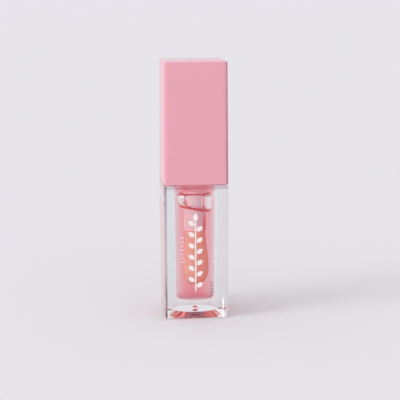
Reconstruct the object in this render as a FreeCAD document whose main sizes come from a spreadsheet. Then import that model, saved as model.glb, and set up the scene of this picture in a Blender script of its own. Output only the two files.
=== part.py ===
import FreeCAD, Part
import os

# Square lip gloss tube: thick-walled clear bottle, threaded neck with wiper,
# square over-cap with threaded inner collar, rod and flocked applicator.
# Millimetres, +Z up, origin at the centre of the base, front face towards -Y.

doc = FreeCAD.newDocument("lip_gloss_tube")

# ---------------------------------------------------------------- dimensions
SIZES = [
    # bottle block
    ("side_base", 19.10), ("side_shoulder", 19.46), ("body_height", 41.3),
    ("edge_round", 0.55), ("base_round", 0.5), ("shoulder_round", 0.35),
    ("chamber_base_rad", 6.08), ("chamber_top_rad", 6.45), ("chamber_top", 38.6),
    ("chamber_floor", 5.2), ("bore_rad", 6.75), ("bore_low", 40.3),
    ("floor_round", 0.6), ("recess_rad", 8.75),
    ("recess_top_rad", 6.85), ("recess_depth", 1.65),
    ("gate_rad", 1.2), ("gate_rise", 0.95),
    # neck and its thread
    ("neck_rad", 7.45), ("neck_top", 53.0), ("neck_foot", 0.5),
    ("pitch", 3.0), ("thread_turns", 1.25), ("thread_start", 44.4),
    ("ridge_rad", 7.9), ("ridge_root", 1.6), ("ridge_crest", 0.8),
    # wiper
    ("flange_rad", 7.3), ("flange_thick", 0.8), ("sleeve_rad", 6.72),
    ("sleeve_bore", 5.5), ("sleeve_end", 45.5), ("lip_bottom", 38.9),
    ("lip_bore", 3.69), ("lip_wall", 0.55),
    # contents
    ("fill_gap", 0.01), ("fill_top", 44.5),
    ("bubble_rad", 5.95), ("bubble_top", 38.4), ("bubble_mid", 33.35), ("bubble_tilt", 10.0),
    # over-cap
    ("cap_gap", 0.28), ("cap_side", 19.50), ("cap_top_side", 19.04), ("tube_height", 78.8),
    ("cap_round", 0.5), ("cap_wall", 0.9), ("cap_roof", 1.5),
    # inner collar
    ("collar_rad", 8.62), ("collar_bore", 8.02), ("collar_ridge_rad", 7.58),
    ("collar_foot", 41.7), ("foot_side", 17.4), ("foot_thick", 1.0),
    ("roof_low", 54.8), ("roof_thick", 1.4), ("boss_rad", 5.0), ("boss_top", 62.0),
    ("rod_hole", 3.70), ("wing_reach", 11.2), ("wing_thick", 1.2), ("wing_top", 52.0),
    # seal washer
    ("washer_outer", 7.1), ("washer_inner", 3.9),
    # rod
    ("rod_rad", 3.65), ("rod_head_rad", 4.6), ("rod_head", 1.2), ("spigot_rad", 1.55),
    ("spigot_low", 19.0), ("rod_low", 26.7),
    # decoration on the front face
    ("ink", 0.05), ("sprig_off", -0.35), ("sprig_low", 8.6), ("sprig_high", 33.0),
    ("dash_off", 4.55), ("dash_low", 6.9), ("trail_off", -4.4),
    ("trail_low", 17.6),
]
VALUE = dict(SIZES)

sheet = doc.addObject("Spreadsheet::Sheet", "Dims")
for row, (word, number) in enumerate(SIZES, start=1):
    sheet.set("A%d" % row, word)
    sheet.set("B%d" % row, "%s" % number)
    sheet.setAlias("B%d" % row, word)
doc.recompute()


class Q:
    """A length that is known as a number and as a sheet expression."""

    def __init__(self, text, value):
        self.text, self.value = text, float(value)

    def __add__(self, other):
        other = q(other)
        return Q("(%s + %s)" % (self.text, other.text), self.value + other.value)

    __radd__ = __add__

    def __sub__(self, other):
        other = q(other)
        return Q("(%s - %s)" % (self.text, other.text), self.value - other.value)

    def __rsub__(self, other):
        return q(other) - self

    def __mul__(self, other):
        other = q(other)
        return Q("(%s * %s)" % (self.text, other.text), self.value * other.value)

    __rmul__ = __mul__

    def __truediv__(self, other):
        other = q(other)
        return Q("(%s / %s)" % (self.text, other.text), self.value / other.value)


def q(thing):
    if isinstance(thing, Q):
        return thing
    if isinstance(thing, str):
        return Q("Dims." + thing, VALUE[thing])
    return Q("%.6f" % thing, thing)


def D(word):
    return q(word)


# ------------------------------------------------------------------- helpers
def body(label):
    made = doc.addObject("PartDesign::Body", label + "_body")
    made.Label = label
    doc.recompute()
    return made


def plane(of, role):
    for feature in of.Origin.OriginFeatures:
        if feature.Role == role:
            return feature
    raise ValueError(role)


def sketch(of, name, role, lift=None):
    made = of.newObject("Sketcher::SketchObject", name)
    made.AttachmentSupport = [(plane(of, role), "")]
    made.MapMode = "FlatFace"
    if lift is not None:
        made.AttachmentOffset = FreeCAD.Placement(
            FreeCAD.Vector(0, 0, q(lift).value), FreeCAD.Rotation())
        made.setExpression("AttachmentOffset.Base.z", q(lift).text)
    return made


def outline(sk, points):
    """A closed run of straight edges; every corner is tied to sheet expressions."""
    points = [(q(x), q(y)) for x, y in points]
    count = len(points)
    first = sk.GeometryCount
    for i in range(count):
        a, b = points[i], points[(i + 1) % count]
        sk.addGeometry(Part.LineSegment(
            FreeCAD.Vector(a[0].value, a[1].value, 0),
            FreeCAD.Vector(b[0].value, b[1].value, 0)), False)
    import Sketcher
    for i in range(count):
        sk.addConstraint(Sketcher.Constraint(
            "Coincident", first + i, 2, first + (i + 1) % count, 1))
    for i, (x, y) in enumerate(points):
        for kind, length in (("DistanceX", x), ("DistanceY", y)):
            number = sk.addConstraint(Sketcher.Constraint(
                kind, -1, 1, first + i, 1, length.value))
            sk.setExpression("Constraints[%d]" % number, length.text)
    return sk


def ring(sk, radius, x=0.0, y=0.0):
    import Sketcher
    radius, x, y = q(radius), q(x), q(y)
    g = sk.addGeometry(Part.Circle(FreeCAD.Vector(x.value, y.value, 0),
                                   FreeCAD.Vector(0, 0, 1), radius.value), False)
    n = sk.addConstraint(Sketcher.Constraint("Radius", g, radius.value))
    sk.setExpression("Constraints[%d]" % n, radius.text)
    if x.value == 0 and y.value == 0:
        sk.addConstraint(Sketcher.Constraint("Coincident", g, 3, -1, 1))
    else:
        for kind, length in (("DistanceX", x), ("DistanceY", y)):
            n = sk.addConstraint(Sketcher.Constraint(kind, -1, 1, g, 3, length.value))
            sk.setExpression("Constraints[%d]" % n, length.text)
    return sk


def square(sk, half):
    half = q(half)
    low = 0 - half
    return outline(sk, [(low, low), (half, low), (half, half), (low, half)])


def pad(of, sk, length, name, taper=None, down=False):
    made = of.newObject("PartDesign::Pad", name)
    made.Profile = sk
    made.Length = q(length).value
    made.setExpression("Length", q(length).text)
    made.Reversed = down
    if taper is not None:
        made.setExpression("TaperAngle", taper)
    sk.Visibility = False
    doc.recompute()
    return made


def spin(of, sk, name, cut=False):
    made = of.newObject("PartDesign::Groove" if cut else "PartDesign::Revolution", name)
    made.Profile = sk
    made.ReferenceAxis = (sk, ["V_Axis"])
    made.Angle = 360.0
    sk.Visibility = False
    doc.recompute()
    return made


def pick(feature, test):
    """Names of the edges whose middle point passes the test."""
    names = []
    for i, edge in enumerate(feature.Shape.Edges, start=1):
        box = edge.BoundBox
        if test(edge, box):
            names.append("Edge%d" % i)
    return names


def soften(of, feature, test, radius, name):
    made = of.newObject("PartDesign::Fillet", name)
    names = pick(feature, test)
    if not names:
        raise ValueError("no edge for " + name)
    made.Base = (feature, names)
    made.Radius = q(radius).value
    made.setExpression("Radius", q(radius).text)
    doc.recompute()
    return made


def winding(of, sk, name, lift):
    made = of.newObject("PartDesign::AdditiveHelix", name)
    made.Profile = sk
    made.ReferenceAxis = (sk, ["V_Axis"])
    made.Mode = "pitch-height-angle"
    made.Pitch = VALUE["pitch"]
    made.Height = q(lift).value
    made.setExpression("Pitch", "Dims.pitch")
    made.setExpression("Height", q(lift).text)
    made.LeftHanded = False
    sk.Visibility = False
    doc.recompute()
    return made


def near(a, b, eps=1e-3):
    return abs(a - b) < eps


def volume(feature):
    return feature.Shape.Volume


# -------------------------------------------------------------------- bottle
bottle = body("bottle")
block = pad(bottle, square(sketch(bottle, "block_plan", "XY_Plane"), D("side_base") / 2),
            "body_height", "block",
            taper="atan((Dims.side_shoulder - Dims.side_base) / 2 / Dims.body_height)")
block_v = soften(bottle, block,
                 lambda e, b: b.ZLength > 30, "edge_round", "block_corners")
block_b = soften(bottle, block_v,
                 lambda e, b: b.ZMax < 1e-4, "base_round", "block_base")
block_t = soften(bottle, block_b,
                 lambda e, b: b.ZMin > VALUE["body_height"] - 1e-4, "shoulder_round",
                 "block_shoulder")
foot = D("neck_rad") + "neck_foot"
spin(bottle, outline(sketch(bottle, "neck_profile", "XZ_Plane"), [
    (0, D("body_height") - 1), (foot, D("body_height") - 1), (foot, "body_height"),
    (D("neck_rad") + D("neck_foot") * 0.3, D("body_height") + D("neck_foot") * 0.3),
    ("neck_rad", D("body_height") + "neck_foot"),
    ("neck_rad", D("neck_top") - 0.3), (D("neck_rad") - 0.3, "neck_top"), (0, "neck_top"),
]), "neck")
# one right-hand thread ridge, one and a quarter turns
ridge_in = D("neck_rad") - 0.25
winding(bottle, outline(sketch(bottle, "neck_ridge", "XZ_Plane"), [
    (ridge_in, D("thread_start") - D("ridge_root") / 2),
    ("neck_rad", D("thread_start") - D("ridge_root") / 2),
    ("ridge_rad", D("thread_start") - D("ridge_crest") / 2),
    ("ridge_rad", D("thread_start") + D("ridge_crest") / 2),
    ("neck_rad", D("thread_start") + D("ridge_root") / 2),
    (ridge_in, D("thread_start") + D("ridge_root") / 2),
]), "neck_thread", D("pitch") * D("thread_turns"))
before = volume(bottle.Tip)
bore = spin(bottle, outline(sketch(bottle, "chamber_profile", "XZ_Plane"), [
    (0, "chamber_floor"), ("chamber_base_rad", "chamber_floor"),
    ("chamber_top_rad", "chamber_top"), ("bore_rad", "bore_low"),
    ("bore_rad", D("neck_top") + 1), (0, D("neck_top") + 1),
]), "chamber", cut=True)
assert volume(bore) < before - 4000, "the chamber was not cut"
bore_f = soften(bottle, bore,
                lambda e, b: near(b.ZMin, VALUE["chamber_floor"]) and near(b.ZMax, VALUE["chamber_floor"]),
                "floor_round", "chamber_floor_round")
# recess under the base: flat ceiling, sloping wall, and the moulding gate's dimple
before = volume(bore_f)
recess = spin(bottle, outline(sketch(bottle, "recess_profile", "XZ_Plane"), [
    (0, -0.5), ("recess_rad", -0.5), ("recess_rad", 0), ("recess_top_rad", "recess_depth"),
    (0, "recess_depth"),
]), "base_recess", cut=True)
assert volume(recess) < before - 250, "the base recess was not cut"
dimple = bottle.newObject("PartDesign::SubtractiveSphere", "gate_dimple")
dimple_rad = (D("gate_rad") * D("gate_rad") + D("gate_rise") * D("gate_rise")) / (D("gate_rise") * 2)
dimple.Radius = dimple_rad.value
dimple.setExpression("Radius", dimple_rad.text)
dimple.AttachmentSupport = [(plane(bottle, "XY_Plane"), "")]
dimple.MapMode = "FlatFace"
dimple.setExpression("AttachmentOffset.Base.z", (D("recess_depth") + "gate_rise" - dimple_rad).text)
before = volume(recess)
doc.recompute()
assert volume(dimple) < before - 1, "the gate dimple was not cut"
bottle.Tip = dimple

# --------------------------------------------------------------------- wiper
wiper = body("wiper")
lip_out = D("lip_bore") + "lip_wall"
wiper_rev = spin(wiper, outline(sketch(wiper, "wiper_profile", "XZ_Plane"), [
    ("sleeve_bore", D("neck_top") + "flange_thick"),
    (D("flange_rad") - 0.2, D("neck_top") + "flange_thick"),
    ("flange_rad", D("neck_top") + D("flange_thick") - 0.2),
    ("flange_rad", "neck_top"), (D("sleeve_rad") - 0.06, "neck_top"),
    (D("sleeve_rad") - 0.06, 50.6), ("sleeve_rad", 50.3), ("sleeve_rad", 49.7),
    (D("sleeve_rad") - 0.12, 49.4), (D("sleeve_rad") - 0.12, "sleeve_end"),
    (D("sleeve_rad") - 0.5, D("sleeve_end") - 0.6),
    (lip_out + 0.35, D("lip_bottom") + 1.2), (lip_out, "lip_bottom"),
    ("lip_bore", "lip_bottom"), ("lip_bore", D("lip_bottom") + 0.5),
    (D("lip_bore") + 0.35, D("lip_bottom") + 1.5),
    (D("sleeve_bore") - 0.1, D("sleeve_end") + 0.4), ("sleeve_bore", D("sleeve_end") + 1.4),
]), "wiper_turned")

# ------------------------------------------------------------------ over-cap
cap = body("outer_cap")
cap_low = D("body_height") + "cap_gap"
cap_tall = D("tube_height") - cap_low
cap_taper = "atan((Dims.cap_top_side - Dims.cap_side) / 2 / (Dims.tube_height - Dims.body_height - Dims.cap_gap))"
cap_block = pad(cap, square(sketch(cap, "cap_plan", "XY_Plane", cap_low), D("cap_side") / 2),
                cap_tall, "cap_block", taper=cap_taper)
cap_v = soften(cap, cap_block, lambda e, b: b.ZLength > 30, "cap_round", "cap_corners")
cap_t = soften(cap, cap_v, lambda e, b: b.ZMin > VALUE["tube_height"] - 1e-4,
               D("cap_round") * 0.9, "cap_top_edge")
cap_m = soften(cap, cap_t, lambda e, b: b.ZMax < cap_low.value + 1e-4, 0.2, "cap_mouth_edge")
before = volume(cap_m)
hollow = cap.newObject("PartDesign::Pocket", "cap_hollow")
hollow.Profile = square(sketch(cap, "hollow_plan", "XY_Plane", cap_low),
                        D("cap_side") / 2 - "cap_wall")
hollow.Type = "Length"
hollow.Length = (cap_tall - "cap_roof").value
hollow.setExpression("Length", (cap_tall - "cap_roof").text)
hollow.Reversed = True
hollow.setExpression("TaperAngle", cap_taper)
doc.recompute()
assert volume(hollow) < before * 0.45, "the cap was not hollowed"
cap_i = soften(cap, hollow, lambda e, b: b.ZLength > 30 and e.BoundBox.XMax < 9.0
               and e.BoundBox.XMin > -9.0 and e.BoundBox.YMax < 9.0 and e.BoundBox.YMin > -9.0,
               0.4, "hollow_corners")
cap.Tip = cap_i

# -------------------------------------------------------------- inner collar
collar = body("inner_cap")
roof_top = D("roof_low") + "roof_thick"
spin(collar, outline(sketch(collar, "collar_profile", "XZ_Plane"), [
    ("collar_bore", "collar_foot"), ("collar_rad", "collar_foot"),
    ("collar_rad", roof_top - 0.4), (D("collar_rad") - 0.4, roof_top), ("boss_rad", roof_top),
    ("boss_rad", D("boss_top") - 0.3), (D("boss_rad") - 0.3, "boss_top"),
    ("rod_hole", "boss_top"), ("rod_hole", "roof_low"), ("collar_bore", "roof_low"),
]), "collar_turned")
# square foot that closes the mouth of the over-cap round the collar
foot_plan = sketch(collar, "foot_plan", "XY_Plane", "collar_foot")
square(foot_plan, D("foot_side") / 2)
ring(foot_plan, D("collar_rad") - 0.2)
before = volume(collar.Tip)
foot_pad = pad(collar, foot_plan, "foot_thick", "foot_plate")
assert volume(foot_pad) > before + 30, "the foot plate is missing"
# four wings in the corners, which carry the turn from the over-cap
wing_plan = sketch(collar, "wing_plan", "XY_Plane", "collar_foot")
half_wing = D("wing_thick") / 2
outline(wing_plan, [
    (D("collar_rad") - 0.2, 0 - half_wing), ("wing_reach", 0 - half_wing),
    ("wing_reach", half_wing), (D("collar_rad") - 0.2, half_wing),
])
wing_plan.AttachmentOffset = FreeCAD.Placement(
    FreeCAD.Vector(0, 0, VALUE["collar_foot"]),
    FreeCAD.Rotation(FreeCAD.Vector(0, 0, 1), 45))
wing = pad(collar, wing_plan, D("wing_top") - "collar_foot", "wing")
wings = collar.newObject("PartDesign::PolarPattern", "wings")
wings.Originals = [wing]
wings.Axis = (wing_plan, ["N_Axis"])
wings.Angle = 360
wings.Occurrences = 4
before = volume(wing)
collar.Tip = wings
doc.recompute()
assert volume(wings) > before + 30, "the wings were not repeated"
# thread ridge inside the collar, half a pitch below the neck's ridge
groove_in = D("collar_bore") + 0.2
half_pitch = D("pitch") / 2
mid = D("thread_start") - half_pitch
collar_thread = winding(collar, outline(sketch(collar, "collar_ridge", "XZ_Plane"), [
    (groove_in, mid - 0.8), ("collar_bore", mid - 0.8), ("collar_ridge_rad", mid - 0.4),
    ("collar_ridge_rad", mid + 0.4), ("collar_bore", mid + 0.8), (groove_in, mid + 0.8),
]), "collar_thread", D("pitch") * D("thread_turns"))
collar.Tip = collar_thread

# --------------------------------------------------------------- seal washer
seat = D("neck_top") + "flange_thick"
washer_disc = doc.addObject("Part::Cylinder", "washer_disc")
washer_hole = doc.addObject("Part::Cylinder", "washer_hole")
for thing, rad, low, tall in (
        (washer_disc, D("washer_outer"), seat, D("roof_low") - seat),
        (washer_hole, D("washer_inner"), seat - 1, D("roof_low") - seat + 2)):
    thing.setExpression("Radius", rad.text)
    thing.setExpression("Height", tall.text)
    thing.setExpression("Placement.Base.z", low.text)
washer = doc.addObject("Part::Cut", "washer_cut")
washer.Base, washer.Tool = washer_disc, washer_hole
washer.Label = "seal_washer"

# ----------------------------------------------------------------------- rod
rod = body("stem")
spin(rod, outline(sketch(rod, "rod_profile", "XZ_Plane"), [
    (0, "spigot_low"), (D("spigot_rad") - 0.3, "spigot_low"), ("spigot_rad", D("spigot_low") + 0.5),
    ("spigot_rad", D("rod_low") - 0.0), (D("rod_rad") - 0.25, "rod_low"),
    ("rod_rad", D("rod_low") + 0.25), ("rod_rad", "boss_top"),
    ("rod_head_rad", D("boss_top") + 0.02), ("rod_head_rad", D("boss_top") + D("rod_head") - 0.4),
    (D("rod_head_rad") - 0.5, D("boss_top") + "rod_head"), (0, D("boss_top") + "rod_head"),
]), "rod_turned")

# ---------------------------------------------------------------- applicator
# height above the base, half width, half depth and sideways set of the outside
PAD_SECTIONS = [
    (9.45, 0.9, 0.75, 0.18), (9.6, 1.65, 1.35, 0.18), (10.05, 2.6, 2.05, 0.18),
    (10.9, 3.45, 2.7, 0.18), (12.2, 4.05, 3.15, 0.18), (14.0, 4.38, 3.4, 0.18),
    (16.2, 4.4, 3.48, 0.17), (18.8, 4.15, 3.5, 0.15), (21.6, 3.8, 3.48, 0.1),
    (24.4, 3.55, 3.45, 0.05), (26.6, 3.45, 3.4, 0.0),
]


def pad_loft(label, shrink, low, high):
    sections = []
    for i, (z, a, b, side) in enumerate(PAD_SECTIONS):
        z = low + (z - PAD_SECTIONS[0][0]) * (high - low) / (PAD_SECTIONS[-1][0] - PAD_SECTIONS[0][0])
        loop = doc.addObject("Part::Ellipse", "%s_loop_%02d" % (label, i))
        loop.MajorRadius = a - shrink
        loop.MinorRadius = b - shrink
        loop.Placement = FreeCAD.Placement(FreeCAD.Vector(side, 0, z), FreeCAD.Rotation())
        loop.Visibility = False
        sections.append(loop)
    made = doc.addObject("Part::Loft", label)
    made.Sections = sections
    made.Solid = True
    made.Ruled = False
    return made


core_loft = pad_loft("core_loft", 0.53, 10.0, 26.55)
flock_loft = pad_loft("flock_loft", 0.0, 9.45, 26.6)
room_loft = pad_loft("room_loft", -0.03, 9.41, 26.65)
core_in_flock = pad_loft("core_room_loft", 0.5, 9.95, 26.61)
socket = doc.addObject("Part::Cylinder", "socket")
socket.setExpression("Radius", (D("spigot_rad") + 0.03).text)
socket.setExpression("Height", (D("rod_low") - "spigot_low" + 0.3).text)
socket.setExpression("Placement.Base.z", (D("spigot_low") - 0.2).text)
core = doc.addObject("Part::Cut", "core_cut")
core.Base, core.Tool = core_loft, socket
core.Label = "applicator_core"
flock = doc.addObject("Part::Cut", "flock_cut")
flock.Base, flock.Tool = flock_loft, core_in_flock
flock.Label = "applicator_flock"

# ------------------------------------------------------------------ contents
fill_body = body("fill_block")
fill = spin(fill_body, outline(sketch(fill_body, "fill_profile", "XZ_Plane"), [
    (0, D("chamber_floor") + "fill_gap"),
    (D("chamber_base_rad") - "floor_round", D("chamber_floor") + "fill_gap"),
    (D("chamber_base_rad") - D("floor_round") * 0.293 - "fill_gap",
     D("chamber_floor") + D("floor_round") * 0.293 + "fill_gap"),
    (D("chamber_base_rad") - "fill_gap", D("chamber_floor") + "floor_round"),
    (D("chamber_top_rad") - "fill_gap", "chamber_top"),
    (D("bore_rad") - "fill_gap", "bore_low"), (D("bore_rad") - "fill_gap", "fill_top"),
    (D("sleeve_rad") - 0.45, "fill_top"),
    (lip_out + 0.37, D("lip_bottom") + 1.2), (lip_out + 0.02, D("lip_bottom") - 0.02),
    (0, D("lip_bottom") - 0.02),
]), "fill_turned")
rod_room = doc.addObject("Part::Cylinder", "rod_room")
rod_room.setExpression("Radius", (D("rod_rad") + 0.02).text)
rod_room.setExpression("Height", (D("fill_top") - "rod_low" + 1).text)
rod_room.setExpression("Placement.Base.z", (D("rod_low") - 0.1).text)
# air bubble: an upright disc round the rod with a slanted underside
bubble_disc = doc.addObject("Part::Cylinder", "bubble_disc")
bubble_disc.setExpression("Radius", "Dims.bubble_rad")
bubble_disc.setExpression("Height", (D("bubble_top") - "bubble_mid" + 3).text)
bubble_disc.setExpression("Placement.Base.z", (D("bubble_mid") - 3).text)
bubble_half = doc.addObject("Part::Box", "bubble_keep")
bubble_half.Length = 40
bubble_half.Width = 40
bubble_half.Height = 20
keep_mid = VALUE["bubble_mid"]
turn = FreeCAD.Rotation(FreeCAD.Vector(0, 1, 0), VALUE["bubble_tilt"])
corner = turn.multVec(FreeCAD.Vector(-20, -20, 0))
bubble_half.Placement = FreeCAD.Placement(FreeCAD.Vector(corner.x, corner.y, corner.z + keep_mid), turn)
bubble = doc.addObject("Part::Common", "bubble")
bubble.Base, bubble.Tool = bubble_disc, bubble_half
voids = doc.addObject("Part::MultiFuse", "fill_voids")
voids.Shapes = [rod_room, room_loft, bubble]
gloss = doc.addObject("Part::Cut", "fill_cut")
gloss.Base, gloss.Tool = fill_body, voids
gloss.Label = "gloss_fill"

# --------------------------------------------------------------- decoration
# A plain leaf sprig, a run of small bars and a few slanted strokes, inked on
# the front face. Drawn in the XZ plane, then leaned back with the face's draft.
draft = "atan((Dims.side_shoulder - Dims.side_base) / 2 / Dims.body_height)"


def lay_on_face(thing):
    thing.Placement = FreeCAD.Placement(
        FreeCAD.Vector(0, 0, 0), FreeCAD.Rotation(FreeCAD.Vector(1, 0, 0), 0.2))
    thing.setExpression("Placement.Base.y", "-Dims.side_base / 2")
    thing.setExpression("Placement.Rotation.Angle", draft)


def leaf(x0, z0, length, width, angle):
    """Corner points of a pointed leaf that starts at x0, z0."""
    import math
    c, s = math.cos(math.radians(angle)), math.sin(math.radians(angle))
    shape = [(0, 0), (0.22, 0.36), (0.5, 0.5), (0.8, 0.3), (1, 0),
             (0.8, -0.3), (0.5, -0.5), (0.22, -0.36)]
    return [(x0 + c * u * length - s * v * width, z0 + s * u * length + c * v * width)
            for u, v in shape]


def trace(sk, points):
    """A closed run of straight edges drawn at plain coordinates."""
    import Sketcher
    count, first = len(points), sk.GeometryCount
    for i in range(count):
        a, b = points[i], points[(i + 1) % count]
        sk.addGeometry(Part.LineSegment(FreeCAD.Vector(a[0], a[1], 0),
                                        FreeCAD.Vector(b[0], b[1], 0)), False)
    sk.addConstraint([Sketcher.Constraint("Coincident", first + i, 2, first + (i + 1) % count, 1)
                      for i in range(count)])


def drawing(of, name, across, up):
    """A sketch on the front whose own origin sits at the given sheet lengths."""
    made = sketch(of, name, "XZ_Plane")
    made.AttachmentOffset = FreeCAD.Placement(
        FreeCAD.Vector(VALUE[across], VALUE[up], 0), FreeCAD.Rotation())
    made.setExpression("AttachmentOffset.Base.x", "Dims." + across)
    made.setExpression("AttachmentOffset.Base.y", "Dims." + up)
    return made


sprig = body("front_print")
sk = drawing(sprig, "sprig_plan", "sprig_off", "sprig_low")
tall = VALUE["sprig_high"] - VALUE["sprig_low"]
step = (tall - 3.4) / 6.0
for i in range(6):
    z = 1.3 + step * i
    trace(sk, leaf(0.36, z, 2.3, 1.45, 38))
    trace(sk, leaf(-0.36, z + step * 0.5, 2.3, 1.45, 142))
trace(sk, leaf(0, tall - 2.7, 2.7, 1.5, 90))
trace(sk, [(-0.2, 0), (0.2, 0), (0.2, tall - 2.9), (-0.2, tall - 2.9)])
pad(sprig, sk, "ink", "sprig_ink")
lay_on_face(sprig)

bars = body("side_print")
sk = drawing(bars, "bars_plan", "trail_off", "trail_low")
for i in range(7):
    half = 0.62 if i % 3 == 0 else 0.42
    trace(sk, [(-half, 1.25 * i), (half, 1.25 * i), (half, 1.25 * i + 0.38), (-half, 1.25 * i + 0.38)])
pad(bars, sk, "ink", "bars_ink")
lay_on_face(bars)

dash = body("small_print")
sk = drawing(dash, "dash_plan", "dash_off", "dash_low")
for i in range(5):
    z = 0.98 * i
    trace(sk, [(-0.62, z), (-0.2, z), (0.62, z + 0.6), (0.2, z + 0.6)])
pad(dash, sk, "ink", "dash_ink")
lay_on_face(dash)

# ---------------------------------------------------------------- write out
doc.recompute()
NODES = [bottle, wiper, gloss, cap, collar, washer, rod, core, flock, sprig, bars, dash]
for thing in doc.Objects:
    for word in ("Invalid", "Error"):
        if word in thing.State:
            raise RuntimeError("%s is %s" % (thing.Label, thing.State))
os.makedirs("parts", exist_ok=True)
for node in NODES:
    shape = node.Shape
    if shape.isNull() or not shape.isValid() or not shape.Solids:
        raise RuntimeError("%s has no valid solid" % node.Label)
    box = shape.BoundBox
    print("%-18s solids %2d  volume %9.2f  x %.2f..%.2f  y %.2f..%.2f  z %.2f..%.2f" % (
        node.Label, len(shape.Solids), shape.Volume,
        box.XMin, box.XMax, box.YMin, box.YMax, box.ZMin, box.ZMax))
for node in NODES:
    node.Shape.exportStep("parts/%s.step" % node.Label)
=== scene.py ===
import math
import bpy
import numpy as np
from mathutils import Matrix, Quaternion, Vector


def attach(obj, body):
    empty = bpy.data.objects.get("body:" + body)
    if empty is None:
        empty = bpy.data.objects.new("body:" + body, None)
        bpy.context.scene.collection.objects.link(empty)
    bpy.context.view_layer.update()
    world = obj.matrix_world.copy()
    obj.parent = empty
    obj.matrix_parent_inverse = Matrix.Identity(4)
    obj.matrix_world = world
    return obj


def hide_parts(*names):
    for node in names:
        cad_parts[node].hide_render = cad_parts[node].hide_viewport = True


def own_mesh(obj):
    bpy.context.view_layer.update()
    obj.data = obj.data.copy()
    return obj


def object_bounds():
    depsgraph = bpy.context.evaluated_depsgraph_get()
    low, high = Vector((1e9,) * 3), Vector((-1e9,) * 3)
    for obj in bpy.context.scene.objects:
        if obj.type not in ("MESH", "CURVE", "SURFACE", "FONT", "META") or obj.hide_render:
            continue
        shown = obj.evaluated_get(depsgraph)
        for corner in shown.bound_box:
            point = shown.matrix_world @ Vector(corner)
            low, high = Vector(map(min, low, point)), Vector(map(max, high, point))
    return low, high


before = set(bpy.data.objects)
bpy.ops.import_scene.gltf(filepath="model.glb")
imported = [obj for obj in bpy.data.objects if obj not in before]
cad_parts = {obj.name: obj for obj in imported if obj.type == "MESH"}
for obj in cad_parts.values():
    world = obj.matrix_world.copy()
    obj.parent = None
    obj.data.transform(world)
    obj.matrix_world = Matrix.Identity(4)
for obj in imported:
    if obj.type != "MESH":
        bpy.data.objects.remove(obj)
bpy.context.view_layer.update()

MM = 0.001

# ------------------------------------------------------------------ sizes, mm
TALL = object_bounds()[1][2] / MM
BODY_TOP = 41.3
BASE_HALF, SHOULDER_HALF = 9.55, 9.73
EDGE, BASE_EDGE, SHOULDER_EDGE = 0.55, 0.50, 0.35
RECESS_R, RECESS_TOP_R, RECESS_D = 8.75, 6.85, 1.65
GATE_R, GATE_H = 1.2, 0.95
NECK_R, NECK_TOP, BORE_R, BORE_LOW = 7.45, 53.0, 6.75, 40.3
CHAMBER_TOP, CHAMBER_R1, CHAMBER_R0, FLOOR, FLOOR_R = 38.6, 6.45, 6.08, 5.2, 0.6
ROD_R = 3.65
PITCH, TURNS, THREAD_Z = 3.0, 1.25, 44.4
LIP = 38.9
CAP_LOW, CAP_HALF, CAP_TOP_HALF, CAP_WALL, CAP_ROOF = 41.58, 9.75, 9.52, 0.9, 1.5

rng = np.random.default_rng(7)


# --------------------------------------------------------------- mesh builder
class Ring:
    """Angular samples shared by square and round rings, dense in the corners."""

    def __init__(self, flat=30, corner=12, half=9.6, rc=0.55):
        lim = math.atan2(half - rc, half)
        t = np.tan(np.linspace(-lim, lim, flat + 1)) / math.tan(lim)
        self.flat, self.corner, self.t = flat, corner, t
        self.arc = np.linspace(0, math.pi / 2, corner + 1)[1:-1]
        base, _ = self.square(half, rc)
        self.phi = np.arctan2(base[:, 1], base[:, 0])
        self.n = len(self.phi)

    soft, tilt = 0.0, 0.0

    def square(self, half, rc):
        pts, nor = [], []
        core = half - rc

        def flat(t):
            f = max(0.0, (abs(t) * core - (core - self.soft)) / self.soft) if self.soft else 0.0
            a = math.copysign(self.tilt * f * f, t)
            return (math.cos(a), math.sin(a))

        def bend(b):
            f = b / (math.pi / 2)
            return self.tilt + (math.pi / 2 - 2 * self.tilt) * f
        for q in range(4):
            a = q * math.pi / 2
            c, s = math.cos(a), math.sin(a)
            p = [(half, t * core) for t in self.t] + [
                (core + rc * math.cos(b), core + rc * math.sin(b)) for b in self.arc]
            m = [flat(t) for t in self.t] + [(math.cos(bend(b)), math.sin(bend(b))) for b in self.arc]
            pts += [(c * x - s * y, s * x + c * y) for x, y in p]
            nor += [(c * x - s * y, s * x + c * y) for x, y in m]
        return np.array(pts), np.array(nor)

    def circle(self, r):
        d = np.column_stack([np.cos(self.phi), np.sin(self.phi)])
        return d * r, d


class Even(Ring):
    """Evenly spaced samples for turned pieces."""

    def __init__(self, n=96):
        self.phi = np.arange(n) * 2 * math.pi / n
        self.n = n


def station(ring, kind, size, z, rc=0.0, fn=None):
    """Points and flat normals of one ring. kind is 'sq', 'ci' or 'fn'."""
    if kind == "sq":
        p, m = ring.square(size, max(rc, 0.01))
    elif kind == "ci":
        p, m = ring.circle(max(size, 1e-4))
    else:
        p, m = ring.circle(1.0)
        p = p * fn(ring.phi, z)[:, None]
    return np.column_stack([p, np.full(ring.n, z)]), m


def arc_pts(kind, cx, cz, r, a0, a1, steps, rc=None, outward=True):
    """Stations on a round in the profile plane, with their normals."""
    out = []
    for a in np.linspace(math.radians(a0), math.radians(a1), steps + 1):
        nr, nz = math.cos(a), math.sin(a)
        sign = 1 if outward else -1
        out.append((kind, cx + r * nr, cz + r * nz, sign * nr, sign * nz,
                    None if rc is None else max(rc + r * nr, 0.02)))
    return out


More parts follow.
